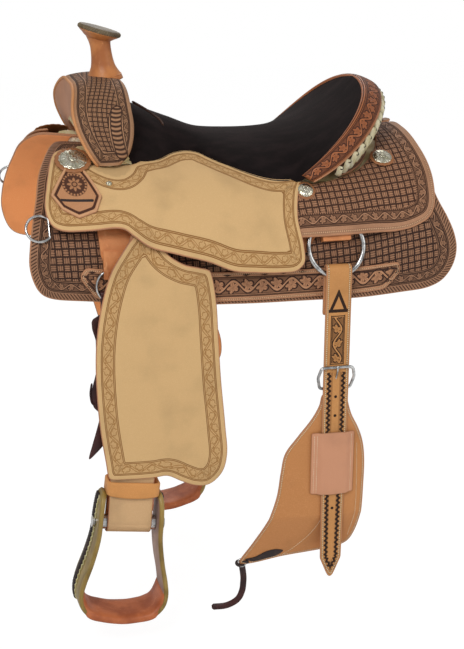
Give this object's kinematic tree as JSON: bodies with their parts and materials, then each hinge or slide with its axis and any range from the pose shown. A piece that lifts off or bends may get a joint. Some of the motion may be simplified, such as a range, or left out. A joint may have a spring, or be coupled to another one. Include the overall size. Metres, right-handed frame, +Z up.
{
  "type": "western roping saddle",
  "caption": "Western roping saddle with horn, padded seat, square skirts, fenders, stirrups on hinged leathers, rigging rings and a hanging flank cinch.",
  "frame": {"origin": "top of the horse's back on the centre plane, under the middle of the seat", "axes": "+Z up, -X towards the horse's head (the horn end), -Y the near (left) side"},
  "size_m": [0.7305, 0.5212, 1.0308],
  "materials": {
    "black_suede": "black suede",
    "fleece": "woolly fleece",
    "latigo_leather": "burgundy latigo leather",
    "rawhide": "rawhide over wood",
    "roughout_leather": "rough side out, matt",
    "silver": "engraved silver",
    "steel": "polished steel",
    "strap_leather": "smooth oiled leather",
    "tooled_leather": "basketweave and scroll tooling, antiqued",
    "tread_leather": "wrapped leather"
  },
  "bodies": {
    "saddle": {"back_jockey_near": "tooled_leather", "back_jockey_off": "tooled_leather", "breast_dee_near": "steel", "breast_dee_off": "steel", "cantle_binding": "tooled_leather", "concho_front_near": "silver", "concho_front_off": "silver", "concho_rear_near": "silver", "concho_rear_off": "silver", "concho_waist_near": "silver", "concho_waist_off": "silver", "fleece_near": "fleece", "fleece_off": "fleece", "fork_cover": "tooled_leather", "front_rigging_near": "strap_leather", "front_rigging_off": "strap_leather", "front_ring_near": "steel", "front_ring_off": "steel", "ground_seat": "rawhide", "horn_cap": "strap_leather", "horn_core": "steel", "horn_wrap": "strap_leather", "latigo_keeper_near": "tooled_leather", "latigo_keeper_off": "tooled_leather", "rear_rigging_near": "strap_leather", "rear_rigging_off": "strap_leather", "rear_ring_near": "steel", "rear_ring_off": "steel", "seat": "black_suede", "seat_jockey_near": "roughout_leather", "seat_jockey_off": "roughout_leather", "skirt_near": "tooled_leather", "skirt_off": "tooled_leather", "skirt_plate_near": "tooled_leather", "skirt_plate_off": "tooled_leather", "tree_bar_near": "rawhide", "tree_bar_off": "rawhide", "tree_cantle": "rawhide", "tree_fork": "rawhide"},
    "fender_near": {"fender_near": "roughout_leather", "stirrup_leather_near": "strap_leather", "hobble_strap_near": "strap_leather"},
    "fender_off": {"fender_off": "roughout_leather", "stirrup_leather_off": "strap_leather", "hobble_strap_off": "strap_leather"},
    "stirrup_near": {"stirrup_near": "strap_leather", "stirrup_tread_near": "tread_leather", "stirrup_bolt_near": "steel"},
    "stirrup_off": {"stirrup_off": "strap_leather", "stirrup_tread_off": "tread_leather", "stirrup_bolt_off": "steel"},
    "flank_near": {"flank_billet_near": "strap_leather", "flank_buckle": "steel", "billet_keeper": "strap_leather", "flank_cinch": "strap_leather", "connector_strap": "latigo_leather"},
    "flank_off": {"flank_billet_off": "strap_leather"},
    "latigo": {"latigo": "latigo_leather"}
  },
  "joints": [
    {"name": "fender_swing_near", "type": "hinge", "parent": "saddle", "child": "fender_near", "pos_m": [-0.185, -0.23, -0.03857], "axis": [0, 1, 0], "range_deg": [-8, 12]},
    {"name": "fender_swing_off", "type": "hinge", "parent": "saddle", "child": "fender_off", "pos_m": [-0.185, 0.23, -0.03857], "axis": [0, 1, 0], "range_deg": [0, 20]},
    {"name": "stirrup_turn_near", "type": "hinge", "parent": "fender_near", "child": "stirrup_near", "pos_m": [-0.2215, -0.21902, -0.589], "axis": [0.9925, 0, -0.1219], "range_deg": [-35, 35]},
    {"name": "stirrup_turn_off", "type": "hinge", "parent": "fender_off", "child": "stirrup_off", "pos_m": [-0.08726, 0.21902, -0.58148], "axis": [0.9925, 0, 0.1219], "range_deg": [-35, 35]},
    {"name": "flank_swing_near", "type": "hinge", "parent": "saddle", "child": "flank_near", "pos_m": [0.139, -0.2203, -0.127], "axis": [0, 1, 0], "range_deg": [-8, 1]},
    {"name": "flank_swing_off", "type": "hinge", "parent": "saddle", "child": "flank_off", "pos_m": [0.139, 0.2203, -0.127], "axis": [0, 1, 0], "range_deg": [-8, 8]},
    {"name": "latigo_swing", "type": "hinge", "parent": "saddle", "child": "latigo", "pos_m": [-0.249, -0.227, -0.192], "axis": [0, 1, 0], "range_deg": [-5, 5]}
  ]
}
